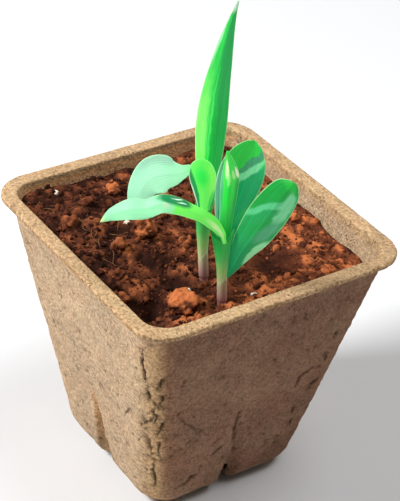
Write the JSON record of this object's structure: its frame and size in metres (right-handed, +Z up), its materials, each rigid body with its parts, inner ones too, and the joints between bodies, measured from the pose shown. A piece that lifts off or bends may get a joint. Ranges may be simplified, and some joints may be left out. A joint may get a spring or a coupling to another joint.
{
  "type": "planted peat pot",
  "caption": "Square tapered pressed-fibre plant pot with a thin lip and pinched drain slots, filled with soil and planted with maize seedlings; the soil lifts out and the stems sway.",
  "frame": {"origin": "centre of the pot's base, on the surface that it stands on", "axes": "+Z up, +X and +Y square to two neighbouring sides of the pot"},
  "size_m": [0.08, 0.08, 0.1479],
  "materials": {
    "pressed_fibre": "matte",
    "soil": "matte",
    "grain": "matte",
    "stem": "satin",
    "sheath": "satin",
    "lime_leaf": "satin",
    "mint_leaf": "satin",
    "green_leaf": "satin",
    "root": "satin",
    "kernel": "satin"
  },
  "bodies": {
    "pot": {"pot_shell": "pressed_fibre"},
    "plug": {"soil_plug": "soil", "soil_clods": "soil", "pale_grains": "grain", "rear_mesocotyl": "root", "rear_kernel": "kernel", "rear_primary_root": "root", "rear_seminal_roots": "root", "rear_crown_roots": "root", "front_mesocotyl": "root", "front_kernel": "kernel", "front_primary_root": "root", "front_seminal_roots": "root", "front_crown_roots": "root"},
    "rear_seedling": {"rear_stem": "stem", "rear_coleoptile": "sheath", "rear_spear_leaf": "lime_leaf", "rear_left_leaf": "mint_leaf", "rear_front_leaf": "lime_leaf"},
    "front_seedling": {"front_stem": "stem", "front_coleoptile": "sheath", "front_arched_leaf": "mint_leaf", "front_rolled_leaf": "lime_leaf", "front_back_leaf": "green_leaf", "front_right_leaf": "green_leaf"}
  },
  "joints": [
    {"name": "plug_lift", "type": "slide", "parent": "pot", "child": "plug", "axis": [0, 0, 1], "range_m": [0, 0.085]},
    {"name": "rear_stem_sway", "type": "hinge", "parent": "plug", "child": "rear_seedling", "pos_m": [0.0167, -0.00871, 0.06756], "axis": [0.8007, -0.599, 0], "range_deg": [-8, 8], "stiffness_Nm_per_rad": 0.004},
    {"name": "front_stem_sway", "type": "hinge", "parent": "plug", "child": "front_seedling", "pos_m": [0.0274, -0.01048, 0.06755], "axis": [0.8007, -0.599, 0], "range_deg": [-8, 8], "stiffness_Nm_per_rad": 0.004}
  ]
}
